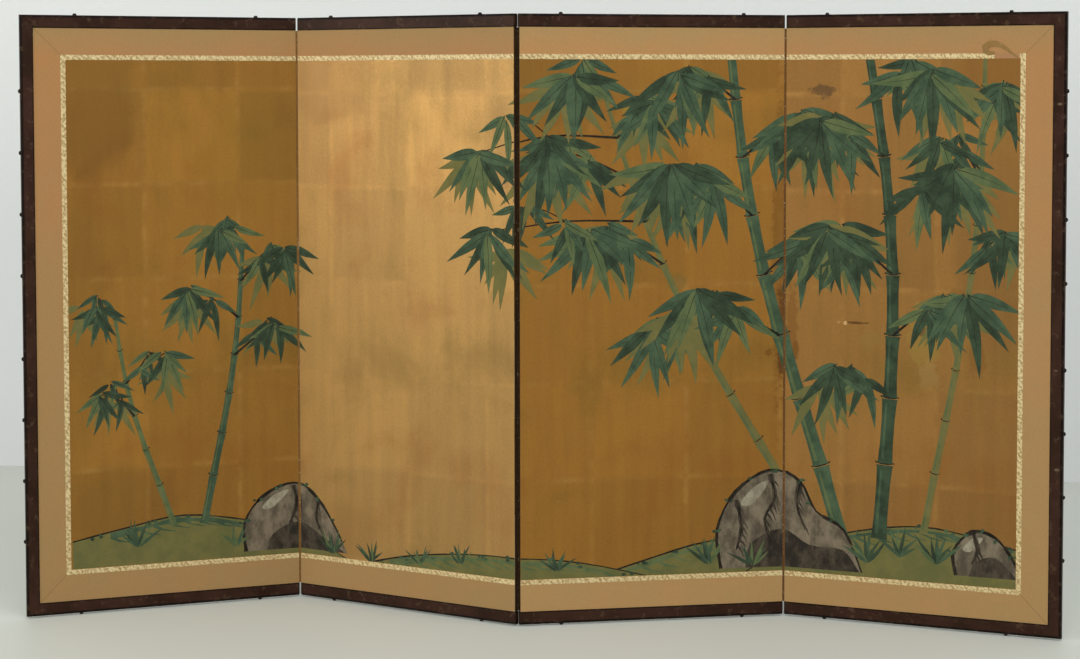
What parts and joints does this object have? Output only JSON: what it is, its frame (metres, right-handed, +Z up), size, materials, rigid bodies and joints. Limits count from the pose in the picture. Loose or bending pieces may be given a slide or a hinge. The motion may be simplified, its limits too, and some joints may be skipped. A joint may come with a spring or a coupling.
{
  "type": "folding screen",
  "caption": "Low gold-ground paper folding screen of upright panels in a dark lacquered outer frame, with a brocade border, round-headed frame nails and interleaved paper hinges.",
  "frame": {"origin": "on the floor under the middle of the screen's bounding box, with the screen standing open as it is shown", "axes": "+X along the screen from the viewer's left to right through its two outer edges, +Y to its plain back, so the picture faces -Y, +Z up"},
  "size_m": [1.5522, 0.2014, 0.9146],
  "materials": {
    "cedar": "planed softwood, bare",
    "underlay_paper": "plain long-fibre paper in pasted layers",
    "back_paper": "matt printed lining paper, dark green-grey",
    "gold_leaf_paper": "paper covered with square gold leaves, satin metallic, with a painted design",
    "silk_brocade": "woven silk with a small figure, satin",
    "gilt_strip_paper": "pale gold speckled strip, satin",
    "lacquer": "dark brown lacquer, satin",
    "iron": "blackened wrought iron",
    "hinge_paper": "tough long-fibre paper, gilt and darkened"
  },
  "bodies": {
    "panel_1": {"panel_1_core_frame": "cedar", "panel_1_core_lattice": "cedar", "panel_1_underlay_papers": "underlay_paper", "panel_1_back_paper": "back_paper", "panel_1_picture_sheet": "gold_leaf_paper", "panel_1_brocade_border": "silk_brocade", "panel_1_gilt_strip": "gilt_strip_paper", "panel_1_top_rail": "lacquer", "panel_1_bottom_rail": "lacquer", "panel_1_head_nails": "iron", "panel_1_foot_nails": "iron", "panel_1_right_hinge_leaves": "hinge_paper", "panel_1_stile": "lacquer", "panel_1_stile_nails": "iron", "panel_1_mitre_keys": "cedar"},
    "panel_2": {"panel_2_core_frame": "cedar", "panel_2_core_lattice": "cedar", "panel_2_underlay_papers": "underlay_paper", "panel_2_back_paper": "back_paper", "panel_2_picture_sheet": "gold_leaf_paper", "panel_2_brocade_border": "silk_brocade", "panel_2_gilt_strip": "gilt_strip_paper", "panel_2_top_rail": "lacquer", "panel_2_bottom_rail": "lacquer", "panel_2_head_nails": "iron", "panel_2_foot_nails": "iron", "panel_2_left_hinge_leaves": "hinge_paper", "panel_2_right_hinge_leaves": "hinge_paper"},
    "panel_3": {"panel_3_core_frame": "cedar", "panel_3_core_lattice": "cedar", "panel_3_underlay_papers": "underlay_paper", "panel_3_back_paper": "back_paper", "panel_3_picture_sheet": "gold_leaf_paper", "panel_3_brocade_border": "silk_brocade", "panel_3_gilt_strip": "gilt_strip_paper", "panel_3_top_rail": "lacquer", "panel_3_bottom_rail": "lacquer", "panel_3_head_nails": "iron", "panel_3_foot_nails": "iron", "panel_3_left_hinge_leaves": "hinge_paper", "panel_3_right_hinge_leaves": "hinge_paper"},
    "panel_4": {"panel_4_core_frame": "cedar", "panel_4_core_lattice": "cedar", "panel_4_underlay_papers": "underlay_paper", "panel_4_back_paper": "back_paper", "panel_4_picture_sheet": "gold_leaf_paper", "panel_4_brocade_border": "silk_brocade", "panel_4_gilt_strip": "gilt_strip_paper", "panel_4_top_rail": "lacquer", "panel_4_bottom_rail": "lacquer", "panel_4_head_nails": "iron", "panel_4_foot_nails": "iron", "panel_4_left_hinge_leaves": "hinge_paper", "panel_4_stile": "lacquer", "panel_4_stile_nails": "iron", "panel_4_mitre_keys": "cedar"},
    "fold_1_link": {"fold_1_hinge_links": "hinge_paper"},
    "fold_2_link": {"fold_2_hinge_links": "hinge_paper"},
    "fold_3_link": {"fold_3_hinge_links": "hinge_paper"}
  },
  "joints": [
    {"name": "fold_1_right_crease", "type": "hinge", "parent": "panel_2", "child": "fold_1_link", "pos_m": [-0.39276, 0.09399, 0.4573], "axis": [0, 0, 1], "range_deg": [-26.5, 63.5]},
    {"name": "fold_1_left_crease", "type": "hinge", "parent": "fold_1_link", "child": "panel_1", "pos_m": [-0.39576, 0.09394, 0.4573], "axis": [0, 0, 1], "range_deg": [-26.5, 63.5]},
    {"name": "fold_2_left_crease", "type": "hinge", "parent": "panel_2", "child": "fold_2_link", "pos_m": [-0.02644, -0.07416, 0.4573], "axis": [0, 0, 1], "range_deg": [-20.75, 69.25]},
    {"name": "fold_2_right_crease", "type": "hinge", "parent": "fold_2_link", "child": "panel_3", "pos_m": [-0.02345, -0.07441, 0.4573], "axis": [0, 0, 1], "range_deg": [-20.75, 69.25]},
    {"name": "fold_3_left_crease", "type": "hinge", "parent": "panel_3", "child": "fold_3_link", "pos_m": [0.3663, 0.02834, 0.4573], "axis": [0, 0, -1], "range_deg": [-16.75, 73.25]},
    {"name": "fold_3_right_crease", "type": "hinge", "parent": "fold_3_link", "child": "panel_4", "pos_m": [0.3693, 0.02829, 0.4573], "axis": [0, 0, -1], "range_deg": [-16.75, 73.25]}
  ]
}
